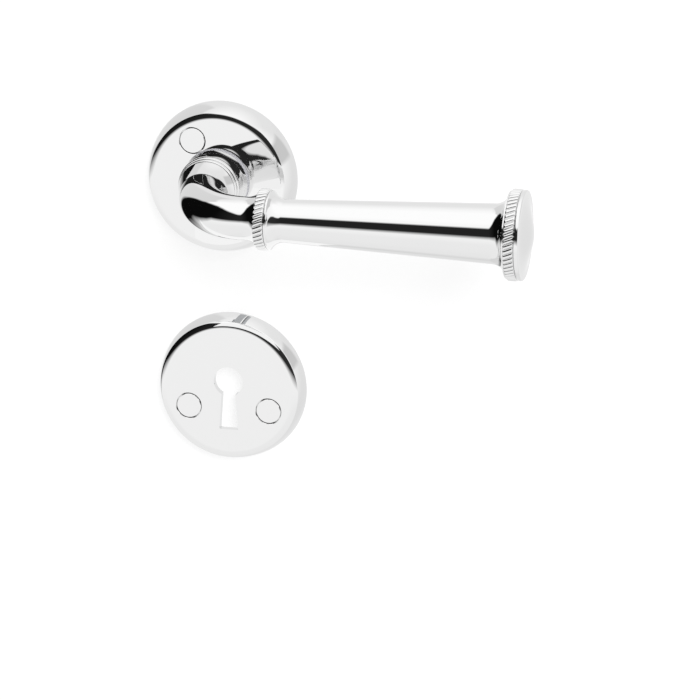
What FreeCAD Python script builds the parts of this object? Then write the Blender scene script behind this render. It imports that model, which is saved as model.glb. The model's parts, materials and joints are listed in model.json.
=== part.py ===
import FreeCAD, Part
import math
import os

# Door lever handle on a round rose, with the matching key escutcheon below it. Millimetres.
# +X runs along the lever, +Y into the door and +Z up. The origin is the rose's centre on the door face.
# Heights called "out" are measured from the door face towards the user, which is along -Y.

# Rose and escutcheon
disc_radius = 26.0
disc_edge = 0.6
disc_wall = 2.6
brow_radius = 4.8
brow_turn_angle = 27.0
rose_thickness = 8.6
rose_face_radius = 21.3
escutcheon_thickness = 7.0
escutcheon_face_radius = 21.9
escutcheon_offset = 2.8
escutcheon_drop = 73.7

# Fixing screws and their caps
rose_screw_spacing = 32.0
rose_screw_angle = 120.8
escutcheon_screw_spacing = 28.3
escutcheon_screw_drop = 6.5
screw_radius = 2.0
screw_shank_radius = 1.75
screw_length = 40.0
screw_hole_clearance = 0.25
screw_relief_radius = 3.5
screw_relief_depth = 0.6
screw_head_radius = 4.0
screw_head_height = 2.4
screw_slot_width = 1.2
screw_slot_depth = 1.0
screw_crown_radius = 2.8
screw_side_height = 1.2
cap_radius = 4.35
cap_thickness = 1.2
cap_clearance = 0.08
cap_edge = 0.15
boss_wall = 1.0

# Keyhole
keyhole_radius = 5.15
keyhole_rise = 3.1
keyhole_slot_length = 17.2
keyhole_top_width = 4.7
keyhole_foot_width = 6.5
keyhole_corner = 0.5

# Bearing of the lever in the rose
spigot_radius = 8.0
running_clearance = 0.05
running_gap = 0.05
fit_clearance = 0.05
bush_wall = 1.4
bush_flange_radius = 11.45
bush_flange_thickness = 1.4
bush_flange_taper = 0.25
washer_radius = 10.2
washer_thickness = 0.5
clip_radius = 9.9
clip_thickness = 0.8
clip_seat_depth = 0.7
clip_mouth_angle = 50.0
clip_eye_radius = 0.6
clip_eye_angle = 10.0
spigot_tail = 0.5
spigot_chamfer = 0.3

# Return spring and its housing
housing_radius = 12.2
housing_wall = 0.5
cover_thickness = 0.6
spring_gap = 0.2
spring_width = 1.6
spring_strip = 0.45
spring_pitch = 0.7
spring_side_gap = 0.8
spring_half_turns = 5
spring_hook = 1.6
spring_slack = 0.15
hub_wall = 1.6

# Spindle and its grub screw
spindle_width = 8.0
spindle_reach = 50.0
spindle_chamfer = 0.6
spindle_socket_depth = 20.0
socket_clearance = 0.05
spindle_end_gap = 0.5
grub_radius = 2.5
grub_recess = 0.6
grub_key_width = 2.5
grub_key_depth = 2.5
key_sides = 6

# Neck, from the rose outwards
neck_foot_radius = 11.2
neck_barrel_radius = 10.85
neck_foot_height = 1.95
neck_barrel_height = 5.3
neck_barrel_bow = 0.16
neck_land_radius = 10.7
bead_count = 2
bead_land = 0.45
bead_width = 1.4
bead_rise = 0.05
bead_drop = 0.4
bead_step = 0.1

# Elbow: two tangent bends in the horizontal plane
lever_stand_off = 52.9
grip_bend_radius = 14.0
bend_split_angle = 45.0
elbow_radius = 7.6
elbow_end_radius = 6.95
elbow_collar_radius = 8.7
root_flare_length = 7.7
root_flare_lean = 1.45
collar_flare_length = 4.5
elbow_end = 27.0
elbow_spans = 13

# Rings, grip and button along the lever
neck_ring_width = 3.4
neck_ring_radius = 9.95
neck_ring_teeth = 44
end_ring_width = 3.4
end_ring_radius = 14.5
end_ring_teeth = 64
groove_depth = 0.5
groove_width = 0.9
groove_slant = 24.0
ring_chamfer = 0.6
grip_length = 78.0
grip_neck_radius = 6.95
grip_wide_radius = 9.6
grip_near_flare = 4.6
grip_near_radius = 9.3
grip_far_flare = 4.8
grip_far_radius = 13.8
button_rim_radius = 13.9
button_rim_width = 0.8
button_bevel = 0.7
button_waist_rise = 1.5
button_waist_radius = 7.5
button_crown_rise = 1.3
button_hollow = 0.3

# Register spigots and the stud that clamps the grip
register_radius = 5.0
register_reach = 2.0
button_boss_length = 7.3
stud_radius = 2.5
stud_socket_depth = 8.0
stud_end_gap = 0.5
stud_bore_clearance = 0.3
stud_top_wall = 0.8

X = FreeCAD.Vector(1, 0, 0)
Y = FreeCAD.Vector(0, 1, 0)
Z = FreeCAD.Vector(0, 0, 1)
OUT = FreeCAD.Vector(0, -1, 0)

# Levels behind the rose's face, measured outwards from the door
driver_level = cover_thickness + spring_gap
spigot_level = driver_level + spring_width
clip_level = spigot_level + spigot_tail
washer_level = clip_level + clip_thickness
pocket_level = washer_level + washer_thickness + running_gap
foot_level = rose_thickness + bush_flange_thickness + running_gap
barrel_level = foot_level + neck_foot_height
beads_level = barrel_level + neck_barrel_height

# Places along the lever
split = math.radians(bend_split_angle)
elbow_root_radius = neck_land_radius - bead_count * (bead_drop + bead_step)
bend_level = beads_level + bead_count * bead_width + bead_land
grip_bend_rise = grip_bend_radius * (1 - math.sin(split))
neck_bend_radius = (lever_stand_off - bend_level - grip_bend_rise) / math.sin(split)
bend_end = neck_bend_radius * (1 - math.cos(split)) + grip_bend_radius * math.cos(split)
grip_start = elbow_end + neck_ring_width
grip_end = grip_start + grip_length
button_start = grip_end + end_ring_width

spring_outer_radius = housing_radius - housing_wall - spring_side_gap - spring_strip / 2
spring_inner_radius = spring_outer_radius - spring_half_turns // 2 * spring_pitch

rose_centre = (0.0, 0.0)
escutcheon_centre = (escutcheon_offset, -escutcheon_drop)
bush_radius = spigot_radius + running_clearance + bush_wall
bush_hole_radius = bush_radius + fit_clearance
cap_hole_radius = cap_radius + cap_clearance
boss_radius = cap_hole_radius + boss_wall
register_hole_radius = register_radius + fit_clearance


def outline(start, *steps):
    """Closed flat wire: a step of two numbers is a line, and one of four is an arc (middle, then end)."""
    edges = []
    here = FreeCAD.Vector(start[0], start[1], 0)
    first = here
    for step in steps:
        there = FreeCAD.Vector(step[-2], step[-1], 0)
        if len(step) == 2:
            edges.append(Part.makeLine(here, there))
        else:
            edges.append(Part.Arc(here, FreeCAD.Vector(step[0], step[1], 0), there).toShape())
        here = there
    edges.append(Part.makeLine(here, first))
    return Part.Wire(edges)


def bulged(start, end, rise):
    """Arc step from start to end whose middle stands out to the left of the chord by rise."""
    run = end[0] - start[0]
    climb = end[1] - start[1]
    chord = math.hypot(run, climb)
    middle = ((start[0] + end[0]) / 2 - climb / chord * rise, (start[1] + end[1]) / 2 + run / chord * rise)
    return middle + tuple(end)


def cove_middle(level_point, steep_point):
    """Middle of the arc that leaves level_point parallel to the axis and ends at steep_point."""
    run = steep_point[0] - level_point[0]
    climb = steep_point[1] - level_point[1]
    radius = (run * run + climb * climb) / (2 * climb)
    half_turn = math.atan2(abs(run), abs(radius - climb) * math.copysign(1, radius * (radius - climb))) / 2
    return (level_point[0] + math.copysign(abs(radius) * math.sin(half_turn), run),
            level_point[1] + radius * (1 - math.cos(half_turn)))


def dome_middle(start, end):
    """Middle of the arc from start to end whose centre is on the axis, so that it turns into a sphere."""
    growth = end[0] * end[0] + end[1] * end[1] - start[0] * start[0] - start[1] * start[1]
    centre = growth / (2 * (end[0] - start[0]))
    radius = math.hypot(start[0] - centre, start[1])
    heading = math.atan2(start[1] + end[1], start[0] + end[0] - 2 * centre)
    return centre + radius * math.cos(heading), radius * math.sin(heading)


def turned_out(wire, centre=rose_centre):
    """Turn a wire drawn as (level, radius) about the door normal through centre."""
    foot = FreeCAD.Vector(centre[0], 0, centre[1])
    face = Part.Face(wire)
    face.Placement = FreeCAD.Placement(foot, FreeCAD.Rotation(Z, -90))
    return face.revolve(foot, Y, 360)


def turned_along(wire):
    """Turn a wire drawn as (distance along the lever, radius) about the lever's axis."""
    foot = FreeCAD.Vector(0, -lever_stand_off, 0)
    face = Part.Face(wire)
    face.Placement = FreeCAD.Placement(foot, FreeCAD.Rotation(X, 90))
    return face.revolve(foot, X, 360)


def rod_out(radius, low, high, centre=rose_centre):
    """Cylinder along the door normal, from level low to level high."""
    return Part.makeCylinder(radius, high - low, FreeCAD.Vector(centre[0], -low, centre[1]), OUT)


def rod_along(radius, start, end):
    """Cylinder on the lever's axis."""
    return Part.makeCylinder(radius, end - start, FreeCAD.Vector(start, -lever_stand_off, 0), X)


def square_out(width, low, high):
    """Square bar along the door normal, centred on the rose."""
    corner = FreeCAD.Vector(-width / 2, -high, -width / 2)
    return Part.makeBox(width, high - low, width, corner)


def screw_seat(thickness):
    """Level that the screw heads bear on, so that a cap on the head is flush with the face."""
    return thickness - cap_thickness - screw_head_height


def rose_screw_places():
    angle = math.radians(rose_screw_angle)
    reach = rose_screw_spacing / 2
    upper = (reach * math.cos(angle), reach * math.sin(angle))
    return {"upper": upper, "lower": (-upper[0], -upper[1])}


def escutcheon_screw_places():
    middle = (escutcheon_centre[0], escutcheon_centre[1] - escutcheon_screw_drop)
    reach = escutcheon_screw_spacing / 2
    return {"left": (middle[0] - reach, middle[1]), "right": (middle[0] + reach, middle[1])}


def disc_shell(thickness, face_radius, hub_radius, centre, screws):
    """Disc with a flat face, rounded brow and curved shoulder, hollow behind, with screw bosses."""
    rim = (disc_edge, disc_radius)
    turn = math.radians(brow_turn_angle)
    brow = [(thickness - brow_radius * (1 - math.cos(angle)), face_radius + brow_radius * math.sin(angle))
            for angle in (turn, turn / 2)]
    body = turned_out(outline((0, 0), (0, disc_radius), rim, dome_middle(rim, brow[0]) + brow[0],
                              brow[1] + (thickness, face_radius), (thickness, 0)), centre)
    ceiling = thickness - disc_wall
    hollow = turned_out(outline((0, hub_radius), (0, disc_radius - disc_wall),
                                (ceiling, face_radius - disc_wall / 2), (ceiling, hub_radius)), centre)
    shell = body.cut(hollow)
    for place in screws.values():
        shell = shell.fuse(rod_out(boss_radius, 0, ceiling + disc_wall / 2, place))
    seat = screw_seat(thickness)
    for place in screws.values():
        shell = shell.cut(rod_out(cap_hole_radius, seat, thickness, place))
        shell = shell.cut(rod_out(screw_radius + screw_hole_clearance, 0, seat, place))
        shell = shell.cut(rod_out(screw_relief_radius, 0, screw_relief_depth, place))
    return shell.removeSplitter()


def rose():
    pocket_radius = housing_radius + fit_clearance
    shell = disc_shell(rose_thickness, rose_face_radius, pocket_radius + hub_wall, rose_centre,
                       rose_screw_places())
    shell = shell.cut(rod_out(pocket_radius, 0, pocket_level))
    return shell.cut(rod_out(bush_hole_radius, pocket_level, rose_thickness))


def keyhole():
    """Round hole with a slot below it that widens towards its foot, right through the escutcheon."""
    centre = FreeCAD.Vector(escutcheon_centre[0], 0, escutcheon_centre[1] + keyhole_rise)
    through = escutcheon_thickness
    round_part = Part.makeCylinder(keyhole_radius, through, centre, OUT)
    top = keyhole_top_width / 2
    foot = keyhole_foot_width / 2
    corners = [(-top, 0), (top, 0), (foot, -keyhole_slot_length), (-foot, -keyhole_slot_length)]
    points = [centre + FreeCAD.Vector(across, 0, up) for across, up in corners]
    slot = Part.Face(Part.makePolygon(points + points[:1])).extrude(OUT * through)
    low_edges = [edge for edge in slot.Edges
                 if abs(edge.tangentAt(edge.FirstParameter).y) > 0.99
                 and edge.CenterOfMass.z < centre.z - keyhole_slot_length / 2]
    return round_part.fuse(slot.makeFillet(keyhole_corner, low_edges)).removeSplitter()


def escutcheon():
    """Shell with the keyhole cut through its front wall and a boss for each of its two screws."""
    shell = disc_shell(escutcheon_thickness, escutcheon_face_radius, 0.0, escutcheon_centre,
                       escutcheon_screw_places())
    return shell.cut(keyhole())


def screw(thickness, centre):
    """Pan head screw with a slot, seated under its cap, whose thread starts at the door face."""
    seat = screw_seat(thickness)
    top = seat + screw_head_height
    body = turned_out(outline((seat - screw_length, 0), (seat - screw_length, screw_radius - cap_edge),
                              (seat - screw_length + cap_edge, screw_radius), (0, screw_radius),
                              (0, screw_shank_radius), (seat, screw_shank_radius),
                              (seat, screw_head_radius), (seat + screw_side_height, screw_head_radius),
                              (top, screw_crown_radius), (top, 0)), centre)
    slot_corner = FreeCAD.Vector(centre[0] - screw_head_radius, -top, centre[1] - screw_slot_width / 2)
    slot = Part.makeBox(2 * screw_head_radius, screw_slot_depth, screw_slot_width, slot_corner)
    return body.cut(slot)


def cap(thickness, centre):
    """Flush cover over a screw head, with its edge broken all round."""
    back = thickness - cap_thickness
    return turned_out(outline((back, 0), (back, cap_radius), (thickness - cap_edge, cap_radius),
                              (thickness, cap_radius - cap_edge), (thickness, 0)), centre)


def rose_bush():
    inner = spigot_radius + running_clearance
    top = rose_thickness + bush_flange_thickness
    return turned_out(outline((pocket_level, inner), (pocket_level, bush_radius),
                              (rose_thickness, bush_radius), (rose_thickness, bush_flange_radius),
                              (top, bush_flange_radius - bush_flange_taper), (top, inner)))


def spring_housing():
    """Pressed cup in the back of the rose, slotted for the spring's outer hook."""
    inside = housing_radius - housing_wall
    ceiling = pocket_level - housing_wall
    mouth = washer_radius + spring_gap
    cup = turned_out(outline((cover_thickness, inside), (cover_thickness, housing_radius),
                             (pocket_level, housing_radius), (pocket_level, mouth),
                             (ceiling, mouth), (ceiling, inside)))
    slot_width = spring_strip + 2 * spring_slack
    slot_top = spigot_level + spring_gap
    slot = Part.makeBox(2 * housing_wall, slot_top - cover_thickness, slot_width,
                        FreeCAD.Vector(-housing_radius - housing_wall / 2, -slot_top, -slot_width / 2))
    return cup.cut(slot)


def spring_cover():
    plate = rod_out(housing_radius, 0, cover_thickness)
    hole_radius = spindle_width * math.sqrt(0.5) + spring_gap
    return plate.cut(rod_out(hole_radius, 0, cover_thickness))


def half_turn(index, offset):
    """Half circle of the spiral, as its start, middle and end, shifted sideways by offset."""
    radius = spring_inner_radius + index * spring_pitch / 2 + offset
    centre = index % 2 * spring_pitch / 2
    side = 1 - index % 2 * 2
    return ((centre + side * radius, 0), (centre, side * radius), (centre - side * radius, 0))


def return_spring():
    """Flat spiral strip, hooked inwards on the driver and outwards through the housing."""
    edge = spring_strip / 2
    steps = []
    for index in range(spring_half_turns):
        start, middle, end = half_turn(index, edge)
        steps.append(middle + end)
    for index in reversed(range(spring_half_turns)):
        start, middle, end = half_turn(index, -edge)
        if index == spring_half_turns - 1:
            steps.append(end)
        steps.append(middle + start)
    face = Part.Face(outline(half_turn(0, edge)[0], *steps))
    strip = face.extrude(Z * spring_width)
    strip.rotate(FreeCAD.Vector(0, 0, 0), X, 90)
    strip.translate(OUT * driver_level)
    inner_hook = Part.makeBox(spring_hook + edge, spring_width, spring_strip,
                              FreeCAD.Vector(spring_inner_radius - spring_hook, -spigot_level,
                                             -spring_strip / 2))
    outer_hook = Part.makeBox(housing_radius - spring_outer_radius, spring_width, spring_strip,
                              FreeCAD.Vector(-housing_radius, -spigot_level, -spring_strip / 2))
    return strip.fuse(inner_hook).fuse(outer_hook).removeSplitter()


def spring_driver():
    """Plate with a square hole on the spindle and a notch for the spring's inner hook."""
    radius = spring_inner_radius - spring_strip / 2 - spring_gap
    plate = rod_out(radius, driver_level, spigot_level)
    hole = square_out(spindle_width + 2 * socket_clearance, driver_level, spigot_level)
    notch_width = spring_strip + 2 * spring_slack
    notch_depth = spring_hook + spring_slack
    notch = Part.makeBox(notch_depth, spring_width, notch_width,
                         FreeCAD.Vector(spring_inner_radius - notch_depth, -spigot_level, -notch_width / 2))
    return plate.cut(hole).cut(notch)


def thrust_washer():
    washer = rod_out(washer_radius, washer_level, washer_level + washer_thickness)
    return washer.cut(rod_out(spigot_radius + fit_clearance, washer_level, washer_level + washer_thickness))


def retaining_clip():
    """Open snap ring with a plier hole in each end."""
    seat_radius = spigot_radius - clip_seat_depth + fit_clearance
    top = clip_level + clip_thickness
    ring = rod_out(clip_radius, clip_level, top).cut(rod_out(seat_radius, clip_level, top))
    reach = 2 * clip_radius
    half = math.radians(clip_mouth_angle / 2)
    points = [FreeCAD.Vector(0, -clip_level, 0)]
    for angle in (-half, half):
        points.append(FreeCAD.Vector(reach * math.sin(angle), -clip_level, -reach * math.cos(angle)))
    mouth = Part.Face(Part.makePolygon(points + points[:1])).extrude(OUT * clip_thickness)
    ring = ring.cut(mouth)
    eye_reach = (seat_radius + clip_radius) / 2
    for side in (-1, 1):
        angle = side * (half + math.radians(clip_eye_angle))
        eye = (eye_reach * math.sin(angle), -eye_reach * math.cos(angle))
        ring = ring.cut(rod_out(clip_eye_radius, clip_level, top, eye))
    return ring


def spindle():
    inner = spindle_socket_depth - spindle_end_gap
    bar = square_out(spindle_width, -spindle_reach, inner)
    tip = [edge for edge in bar.Edges if abs(edge.CenterOfMass.y - spindle_reach) < spindle_chamfer]
    return bar.makeChamfer(spindle_chamfer, tip)


def grub_level():
    return barrel_level + neck_barrel_height / 2


def grub_screw():
    """Set screw under the neck, from the spindle's flat to just inside the neck's surface."""
    level = grub_level()
    length = neck_barrel_radius - grub_recess - spindle_width / 2
    base = FreeCAD.Vector(0, -level, -spindle_width / 2)
    body = Part.makeCylinder(grub_radius, length, base, -Z)
    corner_radius = grub_key_width / 2 / math.cos(math.pi / key_sides)
    corners = []
    for index in range(key_sides):
        angle = 2 * math.pi * index / key_sides
        corners.append(FreeCAD.Vector(corner_radius * math.cos(angle), corner_radius * math.sin(angle), 0))
    key = Part.Face(Part.makePolygon(corners + corners[:1])).extrude(Z * grub_key_depth)
    key.translate(base - Z * length)
    return body.cut(key)


def elbow_station(distance):
    """Point on the elbow's centreline, and its heading from the door normal in radians."""
    first = neck_bend_radius * split
    second = grip_bend_radius * (math.pi / 2 - split)
    if distance <= first:
        turn = distance / neck_bend_radius
        return neck_bend_radius * (1 - math.cos(turn)), bend_level + neck_bend_radius * math.sin(turn), turn
    if distance <= first + second:
        turn = split + (distance - first) / grip_bend_radius
        along = bend_end - grip_bend_radius * math.cos(turn)
        return along, lever_stand_off - grip_bend_radius * (1 - math.sin(turn)), turn
    return bend_end + distance - first - second, lever_stand_off, math.pi / 2


def elbow_section_radius(distance, total):
    """Tube radius, with a trumpet throat where it leaves the beads and a flare at the ring."""
    radius = elbow_radius + (elbow_end_radius - elbow_radius) * distance / total
    root = max(0.0, 1 - distance / root_flare_length)
    swell = elbow_root_radius - elbow_radius - root_flare_lean
    collar = max(0.0, 1 - (total - distance) / collar_flare_length)
    return (radius + root_flare_lean * root + swell * root ** 2
            + (elbow_collar_radius - elbow_end_radius) * collar ** 2)


def elbow():
    total = (neck_bend_radius * split + grip_bend_radius * (math.pi / 2 - split) + elbow_end - bend_end)
    rings = []
    for index in range(elbow_spans + 1):
        distance = total * index / elbow_spans
        along, level, turn = elbow_station(distance)
        heading = FreeCAD.Vector(math.sin(turn), -math.cos(turn), 0)
        circle = Part.Circle(FreeCAD.Vector(along, -level, 0), heading,
                             elbow_section_radius(distance, total))
        rings.append(Part.Wire(circle.toShape()))
    return Part.makeLoft(rings, True, False)


def neck_turning():
    """Spigot, clip groove, tapered foot, barrel and stepped beads, drawn as (level, radius)."""
    groove = spigot_radius - clip_seat_depth
    barrel = (barrel_level, neck_barrel_radius)
    steps = [(spigot_level, spigot_radius - spigot_chamfer), (spigot_level + spigot_chamfer, spigot_radius),
             (clip_level, spigot_radius), (clip_level, groove), (washer_level, groove),
             (washer_level, spigot_radius), (foot_level, spigot_radius), (foot_level, neck_foot_radius),
             barrel, bulged(barrel, (beads_level, neck_barrel_radius), neck_barrel_bow)]
    for index in range(bead_count):
        low = (beads_level + index * bead_width, neck_land_radius - index * (bead_drop + bead_step))
        high = (low[0] + bead_width, low[1] - bead_drop)
        steps += [low, bulged(low, high, bead_rise)]
    steps += [(beads_level + bead_count * bead_width, elbow_root_radius), (bend_level, elbow_root_radius),
              (bend_level, 0)]
    return turned_out(outline((spigot_level, 0), *steps))


def lever_neck():
    body = neck_turning().fuse(elbow())
    body = body.fuse(rod_along(register_radius, elbow_end - register_reach, grip_start + register_reach))
    body = body.cut(square_out(spindle_width + 2 * socket_clearance, spigot_level, spindle_socket_depth))
    grub_hole = Part.makeCylinder(grub_radius + fit_clearance, neck_barrel_radius + grub_radius,
                                  FreeCAD.Vector(0, -grub_level(), 0), -Z)
    stud_hole = rod_along(stud_radius + fit_clearance, elbow_end - stud_socket_depth,
                          grip_start + register_reach)
    return body.cut(grub_hole).cut(stud_hole)


def rope_ring(start, width, radius, teeth):
    """Chamfered ring with slanted V grooves milled round its rim, bored for a register."""
    crest = radius - ring_chamfer
    blank = turned_along(outline((start, 0), (start, crest), (start + ring_chamfer, radius),
                                 (start + width - ring_chamfer, radius), (start + width, crest),
                                 (start + width, 0)))
    middle = FreeCAD.Vector(start + width / 2, -lever_stand_off, 0)
    half = groove_width / 2
    floor = radius - groove_depth
    mouth = radius + groove_depth
    points = [FreeCAD.Vector(-width, 0, floor), FreeCAD.Vector(-width, -2 * half, mouth),
              FreeCAD.Vector(-width, 2 * half, mouth)]
    cutter = Part.Face(Part.makePolygon(points + points[:1])).extrude(X * 2 * width)
    cutter.rotate(FreeCAD.Vector(0, 0, 0), Z, groove_slant)
    cutter.translate(middle)
    cutters = []
    for tooth in range(teeth):
        copy = cutter.copy()
        copy.rotate(middle, X, 360 * tooth / teeth)
        cutters.append(copy)
    ring = blank.cut(Part.makeCompound(cutters))
    return ring.cut(rod_along(register_hole_radius, start, start + width))


def grip():
    """Taper between two coves, bored for the stud and counterbored for the registers."""
    near = (grip_start, grip_near_radius)
    near_level = (grip_start + grip_near_flare, grip_neck_radius)
    far_level = (grip_end - grip_far_flare, grip_wide_radius)
    far = (grip_end, grip_far_radius)
    body = turned_along(outline((grip_start, 0), near, cove_middle(near_level, near) + near_level,
                                far_level, cove_middle(far_level, far) + far, (grip_end, 0)))
    body = body.cut(rod_along(stud_radius + stud_bore_clearance, grip_start, grip_end))
    body = body.cut(rod_along(register_hole_radius, grip_start, grip_start + register_reach))
    return body.cut(rod_along(register_hole_radius, button_start - button_boss_length, grip_end))


def end_button():
    """Plain rim, bevel and a low ogee dome, with a boss that reaches back into the grip."""
    rim = (button_start + button_rim_width, button_rim_radius)
    brow = (rim[0] + button_bevel / 2, button_rim_radius - button_bevel)
    waist = (brow[0] + button_waist_rise, button_waist_radius)
    tip = (waist[0] + button_crown_rise, 0.0)
    body = turned_along(outline((button_start, 0), (button_start, button_rim_radius), rim, brow,
                                bulged(brow, waist, button_hollow), dome_middle(waist, tip) + tip))
    body = body.fuse(rod_along(register_radius, button_start - button_boss_length, button_start))
    return body.cut(rod_along(stud_radius + fit_clearance, button_start - button_boss_length,
                              button_start - stud_top_wall))


def tie_stud():
    return rod_along(stud_radius, elbow_end - stud_socket_depth + stud_end_gap,
                     button_start - stud_top_wall - stud_end_gap)


parts = {
    "rose": rose(),
    "rose_bush": rose_bush(),
    "spring_housing": spring_housing(),
    "spring_cover": spring_cover(),
    "return_spring": return_spring(),
    "escutcheon": escutcheon(),
    "lever_neck": lever_neck(),
    "neck_ring": rope_ring(elbow_end, neck_ring_width, neck_ring_radius, neck_ring_teeth),
    "grip": grip(),
    "end_ring": rope_ring(grip_end, end_ring_width, end_ring_radius, end_ring_teeth),
    "end_button": end_button(),
    "tie_stud": tie_stud(),
    "spindle": spindle(),
    "grub_screw": grub_screw(),
    "retaining_clip": retaining_clip(),
    "thrust_washer": thrust_washer(),
    "spring_driver": spring_driver(),
}
for name, place in rose_screw_places().items():
    parts["rose_screw_" + name] = screw(rose_thickness, place)
    parts["rose_cap_" + name] = cap(rose_thickness, place)
for name, place in escutcheon_screw_places().items():
    parts["escutcheon_screw_" + name] = screw(escutcheon_thickness, place)
    parts["escutcheon_cap_" + name] = cap(escutcheon_thickness, place)

os.makedirs("parts", exist_ok=True)
for name, shape in parts.items():
    shape.exportStep("parts/" + name + ".step")
    state = "valid" if shape.isValid() else "INVALID"
    print(name, state, len(shape.Solids), "solid", round(shape.Volume, 1))
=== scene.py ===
import json
import math

import bpy
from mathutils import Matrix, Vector


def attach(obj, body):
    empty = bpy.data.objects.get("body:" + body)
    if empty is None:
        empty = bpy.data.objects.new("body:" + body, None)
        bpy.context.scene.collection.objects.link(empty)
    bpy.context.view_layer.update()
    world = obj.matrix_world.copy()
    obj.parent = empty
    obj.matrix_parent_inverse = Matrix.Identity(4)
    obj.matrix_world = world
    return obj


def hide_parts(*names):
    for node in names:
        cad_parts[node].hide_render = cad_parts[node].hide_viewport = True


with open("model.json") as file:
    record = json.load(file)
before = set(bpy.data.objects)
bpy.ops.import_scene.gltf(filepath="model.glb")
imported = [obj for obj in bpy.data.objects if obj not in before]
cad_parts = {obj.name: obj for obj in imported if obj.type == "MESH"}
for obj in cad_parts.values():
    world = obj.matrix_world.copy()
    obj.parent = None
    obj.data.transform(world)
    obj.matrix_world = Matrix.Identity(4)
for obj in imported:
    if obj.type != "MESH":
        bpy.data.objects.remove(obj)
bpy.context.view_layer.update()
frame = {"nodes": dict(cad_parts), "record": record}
print("frame loaded:", len(frame["nodes"]), "nodes")

mm = 0.001
outAxis = (0, 1, 0)
leverAxis = (1, 0, 0)
# metres between vertices that are welded, and that count as on one spot or in one plane
weldGap = 2e-6
spotGap = 1e-7
planeGap = 1e-6


def clearSelection():
    if bpy.context.object and bpy.context.object.mode != "OBJECT":
        bpy.ops.object.mode_set(mode="OBJECT")
    bpy.ops.object.select_all(action="DESELECT")


def editOnly(piece, pick):
    clearSelection()
    piece.select_set(True)
    bpy.context.view_layer.objects.active = piece
    bpy.ops.object.mode_set(mode="EDIT")
    bpy.ops.mesh.select_mode(type=pick)
    bpy.ops.mesh.select_all(action="DESELECT")


def selectVerts(piece, wanted):
    bpy.ops.object.mode_set(mode="OBJECT")
    for vert in piece.data.vertices:
        vert.select = wanted(vert.co)
    bpy.ops.object.mode_set(mode="EDIT")


def grabTo(here, there):
    bpy.ops.transform.translate(value=tuple(b - a for a, b in zip(here, there)))


def penOutline(name, points, closed):
    # one vertex, pulled from a plane, is extruded from point to point
    clearSelection()
    bpy.ops.mesh.primitive_plane_add(size=mm)
    piece = bpy.context.object
    piece.name = name
    bpy.ops.object.mode_set(mode="EDIT")
    bpy.ops.mesh.select_mode(type="VERT")
    bpy.ops.mesh.select_all(action="SELECT")
    bpy.ops.mesh.merge(type="CENTER")
    grabTo((0, 0, 0), points[0])
    for here, there in zip(points, points[1:]):
        step = tuple(b - a for a, b in zip(here, there))
        bpy.ops.mesh.extrude_region_move(TRANSFORM_OT_translate={"value": step})
    if closed:
        first = Vector(points[0])
        last = Vector(points[-1])
        selectVerts(piece, lambda co: min((co - first).length, (co - last).length) < spotGap)
        bpy.ops.mesh.edge_face_add()
    return piece


def finishMesh(piece, sharp=35):
    editOnly(piece, "VERT")
    bpy.ops.mesh.select_all(action="SELECT")
    bpy.ops.mesh.remove_doubles(threshold=weldGap)
    bpy.ops.mesh.normals_make_consistent(inside=False)
    clearSelection()
    piece.select_set(True)
    bpy.context.view_layer.objects.active = piece
    bpy.ops.object.transform_apply(location=True, rotation=True, scale=True)
    bpy.ops.object.shade_smooth_by_angle(angle=math.radians(sharp))
    clearSelection()


def spinPiece(name, points, centre, axis, steps, closed=True):
    piece = penOutline(name, points, closed)
    bpy.ops.mesh.select_all(action="SELECT")
    bpy.ops.mesh.spin(steps=steps, angle=2 * math.pi, center=centre, axis=axis)
    finishMesh(piece)
    return piece


# profiles are (level out from the door, radius) or (place along the lever, radius) in mm
def outPoints(profile, centre=(0, 0)):
    return [(centre[0] * mm, -level * mm, (centre[1] + radius) * mm) for level, radius in profile]


def alongPoints(profile, standOff):
    return [(along * mm, -standOff * mm, radius * mm) for along, radius in profile]


def roundTo(profile, centre, end, count):
    start = profile[-1]
    first = math.atan2(start[1] - centre[1], start[0] - centre[0])
    turn = math.atan2(end[1] - centre[1], end[0] - centre[0]) - first
    turn = (turn + math.pi) % (2 * math.pi) - math.pi
    size = math.hypot(start[0] - centre[0], start[1] - centre[1])
    for index in range(1, count + 1):
        angle = first + turn * index / count
        profile.append((centre[0] + size * math.cos(angle), centre[1] + size * math.sin(angle)))


def bulgeCentre(start, end, rise):
    run, climb = end[0] - start[0], end[1] - start[1]
    chord = math.hypot(run, climb)
    size = (chord * chord / 4 + rise * rise) / (2 * rise)
    away = size - rise
    return ((start[0] + end[0]) / 2 + climb / chord * away, (start[1] + end[1]) / 2 - run / chord * away)


def domeCentre(start, end):
    growth = end[0] ** 2 + end[1] ** 2 - start[0] ** 2 - start[1] ** 2
    return (growth / (2 * (end[0] - start[0])), 0.0)


def coveCentre(level, steep):
    run, climb = steep[0] - level[0], steep[1] - level[1]
    return (level[0], level[1] + (run * run + climb * climb) / (2 * climb))


def boolean(piece, tool, kind):
    clearSelection()
    bpy.context.view_layer.objects.active = piece
    piece.select_set(True)
    cut = piece.modifiers.new("cut", "BOOLEAN")
    cut.operation = kind
    cut.solver = "EXACT"
    cut.object = tool
    bpy.ops.object.modifier_apply(modifier=cut.name)
    bpy.data.objects.remove(tool)


def rideAs(piece, body, slotName, *nodes):
    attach(piece, body)
    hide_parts(*nodes)
    piece.data.materials.clear()
    piece.data.materials.append(slotMaterials[slotName])


def rod(name, radius, low, high, centre, steps):
    clearSelection()
    spot = (centre[0] * mm, -(low + high) / 2 * mm, centre[1] * mm)
    bpy.ops.mesh.primitive_cylinder_add(vertices=steps, radius=radius * mm, depth=(high - low) * mm,
                                        location=spot, rotation=(math.pi / 2, 0, 0))
    bar = bpy.context.object
    bar.name = name
    return bar


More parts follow.
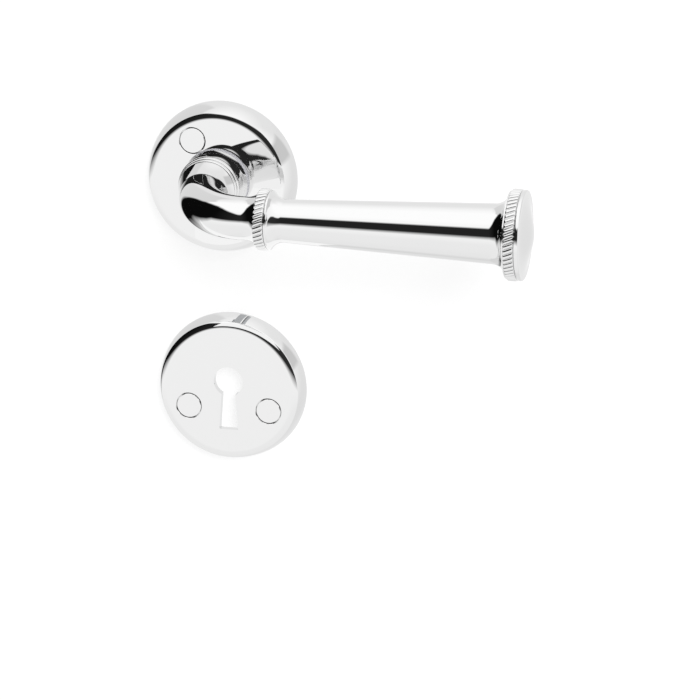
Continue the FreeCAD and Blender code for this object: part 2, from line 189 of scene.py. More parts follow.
def toLinear(code):
    parts = [int(code[place:place + 2], 16) / 255 for place in (1, 3, 5)]
    return [c / 12.92 if c <= 0.04045 else ((c + 0.055) / 1.055) ** 2.4 for c in parts] + [1.0]


def addNode(tree, kind, settings=None, links=None):
    node = tree.nodes.new(kind)
    for key, value in (settings or {}).items():
        if isinstance(key, int) or key in node.inputs:
            node.inputs[key].default_value = value
        else:
            setattr(node, key, value)
    for key, output in (links or {}).items():
        tree.links.new(output, node.inputs[key])
    return node


def newMaterial(name):
    material = bpy.data.materials.new(name)
    material.use_nodes = True
    material.node_tree.nodes.clear()
    return material, material.node_tree


def metalMaterial(name, colour, scale, roughness):
    material, tree = newMaterial(name)
    place = addNode(tree, "ShaderNodeTexCoord")
    haze = addNode(tree, "ShaderNodeTexNoise", {"Scale": scale, "Detail": 3.0},
                   {"Vector": place.outputs["Object"]})
    rough = addNode(tree, "ShaderNodeMapRange",
                    {"From Min": 0.3, "From Max": 0.7, "To Min": roughness[0], "To Max": roughness[1]},
                    {"Value": haze.outputs["Fac"]})
    metal = addNode(tree, "ShaderNodeBsdfPrincipled", {"Base Color": toLinear(colour), "Metallic": 1.0},
                    {"Roughness": rough.outputs["Result"]})
    addNode(tree, "ShaderNodeOutputMaterial", links={"Surface": metal.outputs["BSDF"]})
    return material


moulding = {"mottleScale": 400.0, "darker": "#D6D6DC", "lighter": "#E0E0E5", "skinScale": 4000.0,
            "skinStrength": 0.03, "skinDepth": 0.02, "roughness": 0.42}


def mouldedNylon():
    # light grey moulded nylon, a little mottled, with a fine orange-peel skin
    material, tree = newMaterial("mouldedNylon")
    place = addNode(tree, "ShaderNodeTexCoord")
    mottle = addNode(tree, "ShaderNodeTexNoise", {"Scale": moulding["mottleScale"], "Detail": 2.0},
                     {"Vector": place.outputs["Object"]})
    tint = addNode(tree, "ShaderNodeMix", {"data_type": "RGBA"}, {"Factor": mottle.outputs["Fac"]})
    tint.inputs[6].default_value = toLinear(moulding["darker"])
    tint.inputs[7].default_value = toLinear(moulding["lighter"])
    skin = addNode(tree, "ShaderNodeTexNoise", {"Scale": moulding["skinScale"]},
                   {"Vector": place.outputs["Object"]})
    peel = addNode(tree, "ShaderNodeBump",
                   {"Strength": moulding["skinStrength"], "Distance": moulding["skinDepth"] * mm},
                   {"Height": skin.outputs["Fac"]})
    body = addNode(tree, "ShaderNodeBsdfPrincipled", {"Roughness": moulding["roughness"]},
                   {"Base Color": tint.outputs[2], "Normal": peel.outputs["Normal"]})
    addNode(tree, "ShaderNodeOutputMaterial", links={"Surface": body.outputs["BSDF"]})
    return material


# bright chromium plate over buffed zinc alloy: a mirror with a very faint buffing haze
chrome = metalMaterial("polishedChromePlate", colour="#E5E5E5", scale=220.0, roughness=(0.012, 0.03))
# bright zinc plating on turned and pressed steel, a soft silver sheen
zincSteel = metalMaterial("brightZincPlate", colour="#C6C8CA", scale=900.0, roughness=(0.22, 0.38))
# oiled spring steel, blued dark
springSteel = metalMaterial("oiledSpringSteel", colour="#4B4B50", scale=700.0, roughness=(0.28, 0.45))
slotMaterials = {"polished_chrome": chrome, "zinc_steel": zincSteel, "spring_steel": springSteel,
                 "nylon": mouldedNylon()}

# what the rose and the escutcheon share; each has a brow of its own
disc = {"radius": 26.0, "edge": 0.6, "wall": 2.6, "faceRing": 0.2, "sideSteps": 24, "browSteps": 20,
        "steps": 256, "bossSteps": 72}
cap = {"radius": 4.33, "thickness": 1.2, "edge": 0.2, "clearance": 0.13, "bossWall": 1.0, "steps": 96}
screw = {"headHeight": 2.4, "hole": 2.25, "relief": 3.5, "reliefDepth": 0.6, "over": 0.4}


def discProfile(shape):
    turn = math.radians(shape["browTurn"])
    top, brow = shape["thickness"], shape["browRadius"]
    browLow = (top - brow * (1 - math.cos(turn)), shape["face"] + brow * math.sin(turn))
    rim = (disc["edge"], disc["radius"])
    ceiling = top - disc["wall"]
    profile = [(0.0, disc["radius"] - disc["wall"]), (0.0, disc["radius"]), rim]
    roundTo(profile, domeCentre(rim, browLow), browLow, disc["sideSteps"])
    roundTo(profile, (top - brow, shape["face"]), (top, shape["face"]), disc["browSteps"])
    # a narrow flat ring keeps the mirror of the face true up to its edge
    profile += [(top, shape["face"] - disc["faceRing"]), (top, 0.0)]
    return [(ceiling, shape["face"] - disc["wall"] / 2)] + profile


def screwCutter(top, place):
    seat = top - cap["thickness"] - screw["headHeight"]
    hole = cap["radius"] + cap["clearance"]
    over = screw["over"]
    profile = [(-over, 0.0), (-over, screw["relief"]), (screw["reliefDepth"], screw["relief"]),
               (screw["reliefDepth"], screw["hole"]), (seat, screw["hole"]), (seat, hole),
               (top - cap["edge"], hole), (top + over, hole + cap["edge"] + over), (top + over, 0.0)]
    return spinPiece("screwCutter", outPoints(profile, place), (place[0] * mm, 0, place[1] * mm),
                     outAxis, cap["steps"], False)


def finishDisc(piece, shape):
    top = shape["thickness"]
    bossRadius = cap["radius"] + cap["clearance"] + cap["bossWall"]
    for place in shape["screws"].values():
        boss = rod("boss", bossRadius, 0.0, top - disc["wall"] / 2, place, disc["bossSteps"])
        boolean(piece, boss, "UNION")
    for place in shape["screws"].values():
        boolean(piece, screwCutter(top, place), "DIFFERENCE")


rose = {"thickness": 8.6, "face": 21.3, "browRadius": 4.8, "browTurn": 27.0, "hub": 13.85,
        "pocket": 12.25, "pocketLevel": 4.25, "bore": 9.5, "over": 0.5,
        "screws": {"upper": (-8.193, 13.743), "lower": (8.193, -13.743)}}


def makeRose():
    ceiling = rose["thickness"] - disc["wall"]
    profile = [(0.0, 0.0), (0.0, rose["hub"]), (ceiling, rose["hub"])] + discProfile(rose)
    piece = spinPiece("rosePlate", outPoints(profile), (0, 0, 0), outAxis, disc["steps"], False)
    finishDisc(piece, rose)
    over = rose["over"]
    profile = [(-over, 0.0), (-over, rose["pocket"]), (rose["pocketLevel"], rose["pocket"]),
               (rose["pocketLevel"], rose["bore"]), (rose["thickness"] + over, rose["bore"]),
               (rose["thickness"] + over, 0.0)]
    tool = spinPiece("boreCutter", outPoints(profile), (0, 0, 0), outAxis, disc["steps"], False)
    boolean(piece, tool, "DIFFERENCE")
    finishMesh(piece)
    rideAs(piece, "plates", "polished_chrome", "rose")


makeRose()
print("rose done")

bush = {"level": 4.25, "inner": 8.05, "outer": 9.45, "face": 8.6, "flange": 11.45, "top": 10.0,
        "topRadius": 11.2, "edge": 0.1, "draft": 0.02, "steps": 192}


def makeBush():
    profile = [(bush["level"], bush["inner"]), (bush["level"], bush["outer"]),
               (bush["face"], bush["outer"]), (bush["face"], bush["flange"]),
               (bush["top"] - bush["edge"], bush["topRadius"] + bush["draft"]),
               (bush["top"], bush["topRadius"] - bush["edge"]), (bush["top"], bush["inner"])]
    piece = spinPiece("bearingBush", outPoints(profile), (0, 0, 0), outAxis, bush["steps"])
    rideAs(piece, "plates", "nylon", "rose_bush")


makeBush()
print("bush done")

escutcheon = {"thickness": 7.0, "face": 21.9, "browRadius": 4.2, "browTurn": 36.0,
              "centre": (2.8, -73.7),
              "screws": {"left": (-11.35, -80.2), "right": (16.95, -80.2)}}
keyhole = {"rise": 3.1, "radius": 5.15, "slot": 17.2, "top": 4.2, "foot": 6.7, "corner": 0.5,
           "cornerSteps": 5, "eyeSteps": 96, "over": 1.0}


def keyholeSlot(eye):
    # the slot's tapered outline, with its low corners rounded, pulled right through the disc
    depth = escutcheon["thickness"] + 2 * keyhole["over"]
    top, foot = keyhole["top"] / 2, keyhole["foot"] / 2
    corners = [(-top, 0.0), (top, 0.0), (foot, -keyhole["slot"]), (-foot, -keyhole["slot"])]
    points = [((eye[0] + across) * mm, keyhole["over"] * mm, (eye[1] + up) * mm)
              for across, up in corners]
    slot = penOutline("slotCutter", points, True)
    low = (eye[1] - keyhole["slot"]) * mm
    selectVerts(slot, lambda co: abs(co.z - low) < planeGap)
    bpy.ops.mesh.bevel(offset=keyhole["corner"] * mm, segments=keyhole["cornerSteps"], affect="VERTICES")
    bpy.ops.mesh.select_all(action="SELECT")
    bpy.ops.mesh.edge_face_add()
    bpy.ops.mesh.extrude_region_move(TRANSFORM_OT_translate={"value": (0, -depth * mm, 0)})
    finishMesh(slot)
    return slot


def makeEscutcheon():
    centre = escutcheon["centre"]
    ceiling = escutcheon["thickness"] - disc["wall"]
    profile = [(ceiling, 0.0)] + discProfile(escutcheon)
    piece = spinPiece("escutcheonPlate", outPoints(profile, centre), (centre[0] * mm, 0, centre[1] * mm),
                      outAxis, disc["steps"], False)
    finishDisc(piece, escutcheon)
    eye = (centre[0], centre[1] + keyhole["rise"])
    eyeCutter = rod("eyeCutter", keyhole["radius"], -keyhole["over"],
                    escutcheon["thickness"] + keyhole["over"], eye, keyhole["eyeSteps"])
    boolean(piece, eyeCutter, "DIFFERENCE")
    boolean(piece, keyholeSlot(eye), "DIFFERENCE")
    finishMesh(piece)
    rideAs(piece, "plates", "polished_chrome", "escutcheon")


makeEscutcheon()
print("escutcheon done")


def makeCaps():
    # one plug with a broken edge, then a copy in each of the other holes
    back = rose["thickness"] - cap["thickness"]
    profile = [(back, 0.0), (back, cap["radius"]), (rose["thickness"] - cap["edge"], cap["radius"]),
               (rose["thickness"], cap["radius"] - cap["edge"]), (rose["thickness"], 0.0)]
    first = rose["screws"]["upper"]
    plug = spinPiece("roseCapUpper", outPoints(profile, first), (first[0] * mm, 0, first[1] * mm),
                     outAxis, cap["steps"], False)
    rideAs(plug, "plates", "polished_chrome", "rose_cap_upper")
    for family, shape, side in (("rose", rose, "lower"), ("escutcheon", escutcheon, "left"),
                                ("escutcheon", escutcheon, "right")):
        place = shape["screws"][side]
        clearSelection()
        plug.select_set(True)
        bpy.context.view_layer.objects.active = plug
        bpy.ops.object.duplicate()
        copy = bpy.context.object
        copy.name = family + "Cap" + side.capitalize()
        bpy.ops.transform.translate(value=((place[0] - first[0]) * mm,
                                           (rose["thickness"] - shape["thickness"]) * mm,
                                           (place[1] - first[1]) * mm))
        bpy.ops.object.transform_apply(location=True, rotation=True, scale=True)
        rideAs(copy, "plates", "polished_chrome", family + "_cap_" + side)


makeCaps()
print("caps done")

neck = {"spigotLevel": 2.4, "spigot": 8.0, "lead": 0.3, "clipLevel": 2.9, "washerLevel": 3.7,
        "grooveDepth": 0.7, "footLevel": 10.05, "foot": 11.2, "barrelLevel": 12.0, "barrel": 10.85,
        "barrelBow": 0.16, "barrelSteps": 24, "beadsLevel": 17.3, "land": 10.7, "beads": 2,
        "beadWidth": 1.4, "beadDrop": 0.44, "beadStep": 0.06, "beadRise": 0.09, "beadSteps": 10,
        "bendLevel": 20.55, "root": 9.7, "steps": 192}
neckHole = {"socket": 8.1, "socketDepth": 20.0, "grubLevel": 14.65, "grub": 2.55, "stud": 2.55,
            "studDepth": 8.0, "studOver": 4.6, "over": 1.0, "steps": 64}
elbow = {"standOff": 52.9, "gripBend": 14.0, "split": 45.0, "radius": 7.6, "endRadius": 6.95,
         "collar": 8.7, "rootFlare": 7.7, "rootLean": 1.45, "collarFlare": 4.5, "end": 27.0,
         "sections": 150}
register = {"radius": 5.0, "length": 5.4}


def neckProfile():
    groove = neck["spigot"] - neck["grooveDepth"]
    profile = [(neck["spigotLevel"], 0.0), (neck["spigotLevel"], neck["spigot"] - neck["lead"]),
               (neck["spigotLevel"] + neck["lead"], neck["spigot"]), (neck["clipLevel"], neck["spigot"]),
               (neck["clipLevel"], groove), (neck["washerLevel"], groove),
               (neck["washerLevel"], neck["spigot"]),
               (neck["footLevel"], neck["spigot"]), (neck["footLevel"], neck["foot"]),
               (neck["barrelLevel"], neck["barrel"])]
    low, high = profile[-1], (neck["beadsLevel"], neck["barrel"])
    roundTo(profile, bulgeCentre(low, high, neck["barrelBow"]), high, neck["barrelSteps"])
    for index in range(neck["beads"]):
        low = (neck["beadsLevel"] + index * neck["beadWidth"],
               neck["land"] - index * (neck["beadDrop"] + neck["beadStep"]))
        high = (low[0] + neck["beadWidth"], low[1] - neck["beadDrop"])
        profile.append(low)
        roundTo(profile, bulgeCentre(low, high, neck["beadRise"]), high, neck["beadSteps"])
    profile += [(profile[-1][0], neck["root"]), (neck["bendLevel"], neck["root"])]
    return profile


def elbowPath(start):
    # stations (along the lever, out from the door, turn, radius) round a wide bend and a tight one
    split = math.radians(elbow["split"])
    rise = elbow["gripBend"] * (1 - math.sin(split))
    firstBend = (elbow["standOff"] - start - rise) / math.sin(split)
    bendEnd = firstBend * (1 - math.cos(split)) + elbow["gripBend"] * math.cos(split)
    first = firstBend * split
    second = elbow["gripBend"] * (math.pi / 2 - split)
    total = first + second + elbow["end"] - bendEnd
    swell = neck["root"] - elbow["radius"] - elbow["rootLean"]
    stations = []
    for index in range(elbow["sections"] + 1):
        way = total * index / elbow["sections"]
        if way <= first:
            turn = way / firstBend
            spot = (firstBend * (1 - math.cos(turn)), start + firstBend * math.sin(turn), turn)
        elif way <= first + second:
            turn = split + (way - first) / elbow["gripBend"]
            spot = (bendEnd - elbow["gripBend"] * math.cos(turn),
                    elbow["standOff"] - elbow["gripBend"] * (1 - math.sin(turn)), turn)
        else:
            spot = (bendEnd + way - first - second, elbow["standOff"], math.pi / 2)
        flare = max(0.0, 1 - way / elbow["rootFlare"])
        collar = max(0.0, 1 - (total - way) / elbow["collarFlare"]) ** 2
        size = (elbow["radius"] + (elbow["endRadius"] - elbow["radius"]) * way / total
                + elbow["rootLean"] * flare + swell * flare ** 2
                + (elbow["collar"] - elbow["endRadius"]) * collar)
        stations.append(spot + (size,))
    return stations


def cutNeckHoles(piece):
    # square socket for the spindle, threaded hole for the grub screw below, bore for the stud
    clearSelection()
    low, high = neck["spigotLevel"] - neckHole["over"], neckHole["socketDepth"]
    size = neckHole["socket"] * mm
    bpy.ops.mesh.primitive_cube_add(size=1, location=(0, -(low + high) / 2 * mm, 0))
    socket = bpy.context.object
    bpy.ops.transform.resize(value=(size, (high - low) * mm, size))
    bpy.ops.object.transform_apply(location=True, rotation=True, scale=True)
    boolean(piece, socket, "DIFFERENCE")
    clearSelection()
    deep = neck["foot"] + 2 * neckHole["over"]
    bpy.ops.mesh.primitive_cylinder_add(vertices=neckHole["steps"], radius=neckHole["grub"] * mm,
                                        depth=deep * mm,
                                        location=(0, -neckHole["grubLevel"] * mm, -deep / 2 * mm))
    boolean(piece, bpy.context.object, "DIFFERENCE")
    clearSelection()
    first = elbow["end"] - neckHole["studDepth"]
    last = elbow["end"] + register["length"] + neckHole["studOver"]
    bpy.ops.mesh.primitive_cylinder_add(vertices=neckHole["steps"], radius=neckHole["stud"] * mm,
                                        depth=(last - first) * mm,
                                        location=((first + last) / 2 * mm, -elbow["standOff"] * mm, 0),
                                        rotation=(0, math.pi / 2, 0))
    boolean(piece, bpy.context.object, "DIFFERENCE")


def makeNeck():
    profile = neckProfile()
    start = profile[-1][0]
    piece = penOutline("neckAndElbow", outPoints(profile), False)
    bpy.ops.mesh.select_all(action="SELECT")
    bpy.ops.mesh.spin(steps=neck["steps"], angle=2 * math.pi, center=(0, 0, 0), axis=outAxis)
    bpy.ops.mesh.select_all(action="SELECT")
    bpy.ops.mesh.remove_doubles(threshold=weldGap)
    # the open loop at the top of the beads is pulled round the two bends
    selectVerts(piece, lambda co: abs(co.y + start * mm) < planeGap and co.xz.length > planeGap)
    stations = elbowPath(start)
    for before, after in zip(stations, stations[1:]):
        move = ((after[0] - before[0]) * mm, -(after[1] - before[1]) * mm, 0)
        bpy.ops.mesh.extrude_region_move(TRANSFORM_OT_translate={"value": move})
        spot = (after[0] * mm, -after[1] * mm, 0)
        bpy.ops.transform.rotate(value=before[2] - after[2], orient_axis="Z", center_override=spot)
        grow = after[3] / before[3]
        bpy.ops.transform.resize(value=(grow, grow, grow), center_override=spot)
    # a step in to the register, which seats in the grip
    end = (elbow["end"] * mm, -elbow["standOff"] * mm, 0)
    bpy.ops.mesh.extrude_region_move()
    grow = register["radius"] / elbow["collar"]
    bpy.ops.transform.resize(value=(grow, grow, grow), center_override=end)
    bpy.ops.mesh.extrude_region_move(TRANSFORM_OT_translate={"value": (register["length"] * mm, 0, 0)})
    bpy.ops.mesh.edge_face_add()
    finishMesh(piece)
    cutNeckHoles(piece)
    finishMesh(piece)
    rideAs(piece, "lever", "polished_chrome", "lever_neck")


makeNeck()
print("neck done")

ring = {"width": 3.4, "round": 0.7, "roundSteps": 6, "crownSteps": 4, "bore": 5.05,
        "grooveDepth": 0.66, "grooveHalf": 0.76, "flankSteps": 6, "slant": 24.0, "sharp": 40,
        "neckRing": {"start": 27.0, "radius": 9.95, "teeth": 37, "node": "neck_ring"},
        "endRing": {"start": 108.4, "radius": 14.5, "teeth": 54, "node": "end_ring"}}


def makeRopeRing(name):
    shape = ring[name]
    start, end, radius = shape["start"], shape["start"] + ring["width"], shape["radius"]
    side, half = radius - ring["round"], ring["grooveHalf"]
    profile = [(start, ring["bore"]), (start, side)]
    roundTo(profile, (start + ring["round"], side), (start + ring["round"], radius),
            ring["roundSteps"])
    crown = ring["width"] - 2 * ring["round"]
    for index in range(1, ring["crownSteps"] + 1):
        profile.append((start + ring["round"] + crown * index / ring["crownSteps"], radius))
    roundTo(profile, (end - ring["round"], side), (end, side), ring["roundSteps"])
    profile.append((end, ring["bore"]))
    # across one tooth: down into the groove, up on to the next round ridge, and over its narrow land
    ridge = (half * half + ring["grooveDepth"] ** 2) / (2 * ring["grooveDepth"])
    flank = [(0.0, radius - ring["grooveDepth"])]
    roundTo(flank, (half, radius - ridge), (half, radius), ring["flankSteps"])
    tooth = [(-across, height) for across, height in reversed(flank[1:])] + flank
    tooth.append((2 * math.pi * radius / shape["teeth"] - half, radius))
    lean = math.tan(math.radians(ring["slant"]))
    edges = []
    for across, height in tooth:
        points = []
        for along, level in profile:
            slide = lean * (along - start - ring["width"] / 2) if level > ring["bore"] else 0
            turn = (across + slide) / radius
            level = min(level, height)
            points.append((along * mm, (level * math.sin(turn) - elbow["standOff"]) * mm,
                           level * math.cos(turn) * mm))
        edges.append(penOutline("toothEdge", points, True))
    # the edges are bridged into one tooth, which is copied round the lever's axis
    clearSelection()
    for edge in edges:
        edge.select_set(True)
    bpy.context.view_layer.objects.active = edges[0]
    bpy.ops.object.join()
    piece = bpy.context.object
    piece.name = name
    bpy.ops.object.mode_set(mode="EDIT")
    bpy.ops.mesh.select_mode(type="EDGE")
    bpy.ops.mesh.select_all(action="SELECT")
    bpy.ops.mesh.bridge_edge_loops()
    bpy.ops.mesh.select_all(action="SELECT")
    rest = shape["teeth"] - 1
    bpy.ops.mesh.spin(steps=rest, dupli=True, angle=2 * math.pi * rest / shape["teeth"],
                      center=(0, -elbow["standOff"] * mm, 0), axis=leverAxis)
    finishMesh(piece, ring["sharp"])
    rideAs(piece, "lever", "polished_chrome", shape["node"])


makeRopeRing("neckRing")
makeRopeRing("endRing")
print("rope rings done")

grip = {"start": 30.4, "end": 108.4, "nearFlare": 5.1, "nearRadius": 9.5, "neckRadius": 6.95,
        "farFlare": 5.4, "farRadius": 13.9, "wideRadius": 9.6, "coveSteps": 24, "lip": 0.4,
        "lipSteps": 6, "bore": 2.8, "seat": 5.05, "nearSeat": 2.0, "farSeat": 3.9, "steps": 256}


def makeGrip():
    # a straight taper between two coves, bored for the stud, with a seat for a boss at each end
    near = (grip["start"] + grip["lip"], grip["nearRadius"])
    cove = (near[0] + grip["lip"], near[1])
    nearLevel = (grip["start"] + grip["nearFlare"], grip["neckRadius"])
    farLevel = (grip["end"] - grip["farFlare"], grip["wideRadius"])
    far = (grip["end"] - grip["lip"], grip["farRadius"])
    profile = [(grip["start"] + grip["nearSeat"], grip["bore"]),
               (grip["start"] + grip["nearSeat"], grip["seat"]),
               (grip["start"], grip["seat"]), (grip["start"], grip["nearRadius"] - grip["lip"])]
    roundTo(profile, (near[0], near[1] - grip["lip"]), near, grip["lipSteps"])
    profile.append(cove)
    roundTo(profile, coveCentre(nearLevel, cove), nearLevel, grip["coveSteps"])
    profile.append(farLevel)
    roundTo(profile, coveCentre(farLevel, far), far, grip["coveSteps"])
    profile += [(grip["end"], grip["farRadius"]), (grip["end"], grip["seat"]),
                (grip["end"] - grip["farSeat"], grip["seat"]),
                (grip["end"] - grip["farSeat"], grip["bore"])]
    piece = spinPiece("gripTaper", alongPoints(profile, elbow["standOff"]),
                      (0, -elbow["standOff"] * mm, 0), leverAxis, grip["steps"])
    rideAs(piece, "lever", "polished_chrome", "grip")


makeGrip()
print("grip done")

button = {"start": 111.8, "rim": 14.35, "rimWidth": 0.95, "bevel": 0.5, "bevelSteps": 6,
          "tip": 115.75, "domeSteps": 48, "boss": 5.0, "bossLength": 7.3, "bore": 2.55, "cover": 0.8}


def makeButton():
    start, rim, bevel = button["start"], button["rim"], button["bevel"]
    back = start - button["bossLength"]
    profile = [(start - button["cover"], 0.0), (start - button["cover"], button["bore"]),
               (back, button["bore"]), (back, button["boss"]), (start, button["boss"]),
               (start, rim - bevel)]
    roundTo(profile, (start + bevel, rim - bevel), (start + bevel, rim), button["bevelSteps"])
    profile.append((start + button["rimWidth"], rim))
    # a rounded bevel, then a low ogee dome that is level at the bevel and at its tip
    low = (start + button["rimWidth"] + bevel, rim - bevel)
    roundTo(profile, (start + button["rimWidth"], low[1]), low, button["bevelSteps"])
    for index in range(1, button["domeSteps"] + 1):
        share = 1 - index / button["domeSteps"]
        rise = (button["tip"] - low[0]) * (0.5 + 0.5 * math.cos(math.pi * share))
        profile.append((low[0] + rise, low[1] * share))
    piece = spinPiece("endButtonDome", alongPoints(profile, elbow["standOff"]),
                      (0, -elbow["standOff"] * mm, 0), leverAxis, grip["steps"], False)
    rideAs(piece, "lever", "polished_chrome", "end_button")


makeButton()
print("button done")

# the hidden fittings keep their CAD shape and get the finish of their slot
for part in frame["record"]["subparts"]:
    node = frame["nodes"][part["node"]]
    for place in range(len(node.data.materials)):
        node.data.materials[place] = slotMaterials[part["material_slot"]]
print("fittings done")

# lengths of the studio are in metres
keyLight = {"energy": 2.5, "angle": 24.0, "towards": (0.42, -0.8, 0.44)}
doorFace = {"size": 0.9, "spot": (0.04, 0.0002, -0.05), "paint": "#7C7C7C", "glow": 0.8}


def makeDoorFace():
    # a soft key light from the upper right that only the door face takes, for the faint shadow
    sun = bpy.data.lights.new("keyLight", "SUN")
    sun.energy = keyLight["energy"]
    sun.angle = math.radians(keyLight["angle"])
    key = bpy.data.objects.new("keyLight", sun)
    key.rotation_euler = Vector(keyLight["towards"]).to_track_quat("Z", "Y").to_euler()
    key.visible_glossy = False
    bpy.context.scene.collection.objects.link(key)
    clearSelection()
    bpy.ops.mesh.primitive_plane_add(size=doorFace["size"], location=doorFace["spot"],
                                     rotation=(math.pi / 2, 0, 0))
    wall = bpy.context.object
    wall.name = "doorFace"
    material, tree = newMaterial("whiteDoorFace")
    paint = addNode(tree, "ShaderNodeBsdfDiffuse", {"Color": toLinear(doorFace["paint"])})
    glow = addNode(tree, "ShaderNodeEmission",
                   {"Color": toLinear("#FFFFFF"), "Strength": doorFace["glow"]})
    lit = addNode(tree, "ShaderNodeAddShader", None, {0: paint.outputs[0], 1: glow.outputs[0]})
    # the mirrors do not see the wall, and from behind it is clear
    clear = addNode(tree, "ShaderNodeBsdfTransparent")
    ray = addNode(tree, "ShaderNodeLightPath")
    side = addNode(tree, "ShaderNodeNewGeometry")
    hide = addNode(tree, "ShaderNodeMath", {"operation": "MAXIMUM"},
                   {0: ray.outputs["Is Glossy Ray"], 1: side.outputs["Backfacing"]})
    shown = addNode(tree, "ShaderNodeMixShader", None,
                    {"Fac": hide.outputs[0], 1: lit.outputs[0], 2: clear.outputs[0]})
    addNode(tree, "ShaderNodeOutputMaterial", links={"Surface": shown.outputs[0]})
    wall.data.materials.append(material)
    # the key light falls on the door face alone, so it adds no light to the object
    receivers = bpy.data.collections.new("keyLightReceivers")
    receivers.objects.link(wall)
    key.light_linking.receiver_collection = receivers


stripCard = {"spot": (0.0125, -0.05, -0.0275), "scale": (0.065, 0.031, 1.0), "glow": 1.15}


def makeStripCard():
    # a white strip out in front, below the lever, which shows in mirrors alone
    clearSelection()
    bpy.ops.mesh.primitive_plane_add(size=1.0, location=stripCard["spot"], rotation=(math.pi / 2, 0, 0))
    strip = bpy.context.object
    strip.name = "stripCard"
    strip.scale = stripCard["scale"]
    material, tree = newMaterial("whiteStripCard")
    glow = addNode(tree, "ShaderNodeEmission",
                   {"Color": toLinear("#FFFFFF"), "Strength": stripCard["glow"]})
    clear = addNode(tree, "ShaderNodeBsdfTransparent")
    ray = addNode(tree, "ShaderNodeLightPath")
    shown = addNode(tree, "ShaderNodeMixShader", None,
                    {"Fac": ray.outputs["Is Glossy Ray"], 1: clear.outputs[0], 2: glow.outputs[0]})
    addNode(tree, "ShaderNodeOutputMaterial", links={"Surface": shown.outputs[0]})
    strip.data.materials.append(material)


# the light tent round the object. "ahead" and "behind" give light by degrees up, the gap's edges
# give degrees up by degrees to the side, and "gapLight" gives light by degrees to the side
tent = {
    "ahead": [(-90, 0.98), (-60, 1.03), (-30, 1.04), (-16, 1.1), (40, 1.2), (50, 1.25), (90, 1.25)],
    "behind": [(-90, 0.92), (-35, 0.9), (15, 0.95), (24, 0.93), (35, 0.97), (46, 0.98), (56, 1.07),
               (70, 1.2), (90, 1.25)],
    "cards": [
        {"from": -230, "to": -152, "foot": -30, "head": 20, "edge": 6, "light": 0.95},
        {"from": 150, "to": 230, "foot": -40, "head": 14, "edge": 8, "light": 0.93},
        {"from": -150, "to": -108, "foot": -70, "head": 50, "edge": 4, "light": 0.84},
        {"from": 104, "to": 133, "foot": 8, "head": 31, "edge": 5, "light": 0.72}],
    "gapTop": [(-180, 0), (180, 0), (-150, 36), (-138, 52), (-128, 66), (-120, 82), (-108, 95),
               (-95, 102), (-78, 107), (-60, 106), (-42, 101), (-30, 97), (-18, 92), (0, 88), (44, 87),
               (62, 80), (80, 62), (92, 40)],
    "gapFoot": [(-180, 30), (180, 50), (-126, 30), (-114, 38), (-96, 40), (-78, 45), (-66, 52),
                (-42, 54), (-18, 56), (0, 55), (60, 52), (90, 50)],
    "gapLight": [(-180, 0.003), (180, 0.03), (-60, 0.004), (-15, 0.02), (30, 0.03)],
    "topEdge": 6, "footEdge": 13, "brightest": 1.3, "turnFrom": 105, "turnOver": 24,
    "gapSpan": 120.0, "gapShift": 60.0}


def addRamp(tree, value, low, high, stops, span):
    # a grey ramp over value from low to high, given as (value, level) pairs with levels up to span
    share = addNode(tree, "ShaderNodeMapRange", {"From Min": low, "From Max": high}, {"Value": value})
    ramp = addNode(tree, "ShaderNodeValToRGB", None, {"Fac": share.outputs["Result"]})
    elements = ramp.color_ramp.elements
    for index, (place, level) in enumerate(stops):
        spot = (place - low) / (high - low)
        if index < 2:
            elements[index].position = spot
        element = elements[index] if index < 2 else elements.new(spot)
        element.color = [level / span] * 3 + [1.0]
    spread = addNode(tree, "ShaderNodeMath", {"operation": "MULTIPLY", 1: span},
                     {0: ramp.outputs["Color"]})
    return spread.outputs[0]


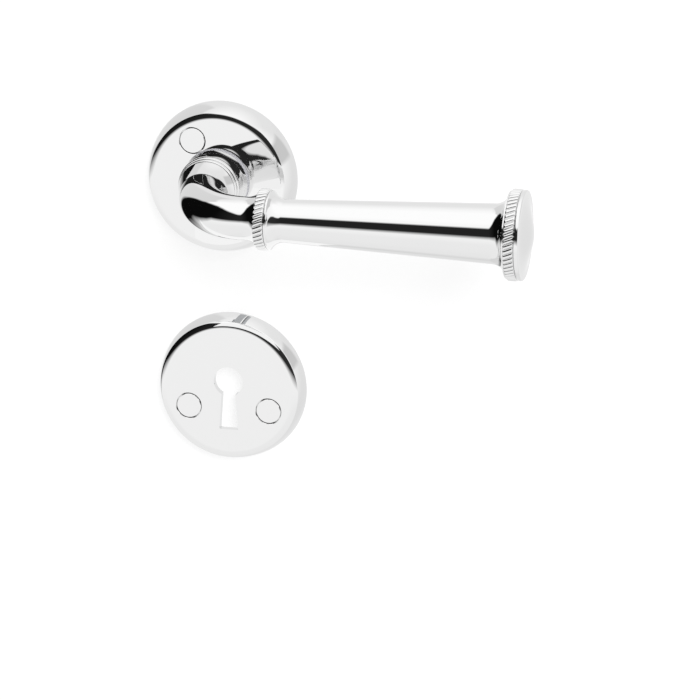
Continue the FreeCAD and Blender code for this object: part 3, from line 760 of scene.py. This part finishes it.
def makeWorld():
    world = bpy.data.worlds.new("lightTent")
    bpy.context.scene.world = world
    world.use_nodes = True
    tree = world.node_tree
    tree.nodes.clear()

    def calc(kind, *values, clamp=False):
        node = tree.nodes.new("ShaderNodeMath")
        node.operation = kind
        node.use_clamp = clamp
        for place, value in enumerate(values):
            if isinstance(value, (int, float)):
                node.inputs[place].default_value = value
            else:
                tree.links.new(value, node.inputs[place])
        return node.outputs[0]

    place = addNode(tree, "ShaderNodeTexCoord")
    split = addNode(tree, "ShaderNodeSeparateXYZ", None, {"Vector": place.outputs["Generated"]})
    front = calc("MULTIPLY", split.outputs["Y"], -1.0)
    degrees = 180 / math.pi
    side = calc("MULTIPLY", calc("ARCTAN2", split.outputs["X"], front), degrees)
    height = calc("MULTIPLY", calc("ARCSINE", split.outputs["Z"]), degrees)
    # brightness by height in degrees, where 1 is white paper: before the door, and back past it
    ahead = addRamp(tree, height, -90, 90, tent["ahead"], tent["brightest"])
    behind = addRamp(tree, height, -90, 90, tent["behind"], tent["brightest"])
    past = calc("SUBTRACT", calc("MULTIPLY", calc("ABSOLUTE", side), 1 / tent["turnOver"]),
                tent["turnFrom"] / tent["turnOver"], clamp=True)
    light = calc("ADD", calc("MULTIPLY", ahead, calc("SUBTRACT", 1.0, past)),
                 calc("MULTIPLY", behind, past))
    for card in tent["cards"]:
        inside = calc("MINIMUM", calc("MINIMUM", calc("SUBTRACT", side, card["from"]),
                                      calc("SUBTRACT", card["to"], side)),
                      calc("MINIMUM", calc("SUBTRACT", height, card["foot"]),
                           calc("SUBTRACT", card["head"], height)))
        share = calc("MULTIPLY_ADD", inside, 1 / card["edge"], 0.5, clamp=True)
        light = calc("MULTIPLY_ADD", calc("SUBTRACT", card["light"], light), share, light)
    # the unlit gap between the floor sheet and the overhead sheet, widest to the left
    span, shift = tent["gapSpan"], tent["gapShift"]
    top = calc("SUBTRACT", addRamp(tree, side, -180, 180, tent["gapTop"], span), shift)
    foot = calc("SUBTRACT", addRamp(tree, side, -180, 180, tent["gapFoot"], span), shift)
    gapLight = addRamp(tree, side, -180, 180, tent["gapLight"], 1.0)
    over = calc("MULTIPLY_ADD", calc("SUBTRACT", top, height), 1 / tent["topEdge"], 0.5, clamp=True)
    under = calc("MULTIPLY_ADD", calc("SUBTRACT", height, foot), 1 / tent["footEdge"], 0.5, clamp=True)
    gap = calc("MULTIPLY", over, under)
    light = calc("MULTIPLY_ADD", calc("SUBTRACT", gapLight, light), gap, light)

    sky = addNode(tree, "ShaderNodeBackground", {"Color": toLinear("#FFFFFF")}, {"Strength": light})
    plain = addNode(tree, "ShaderNodeBackground", {"Color": toLinear("#FFFFFF"), "Strength": 1.0})
    ray = addNode(tree, "ShaderNodeLightPath")
    shown = addNode(tree, "ShaderNodeMixShader", None,
                    {"Fac": ray.outputs["Is Camera Ray"], 1: sky.outputs[0], 2: plain.outputs[0]})
    addNode(tree, "ShaderNodeOutputWorld", links={"Surface": shown.outputs[0]})


view = {"aim": (44.02, 0.0, -58.34), "back": (0.2227, -0.9291, 0.2952), "distance": 1021.02,
        "lens": 154.29, "clipStart": 0.01}


def makeCamera():
    aim = Vector(view["aim"]) * mm
    back = Vector(view["back"]).normalized()
    data = bpy.data.cameras.new("camera")
    data.lens = view["lens"]
    data.clip_start = view["clipStart"]
    camera = bpy.data.objects.new("camera", data)
    bpy.context.scene.collection.objects.link(camera)
    camera.location = aim + back * view["distance"] * mm
    camera.rotation_euler = back.to_track_quat("Z", "Y").to_euler()
    bpy.context.scene.camera = camera


makeDoorFace()
makeStripCard()
makeWorld()
makeCamera()
bpy.context.scene.view_settings.view_transform = "Standard"
print("studio done")
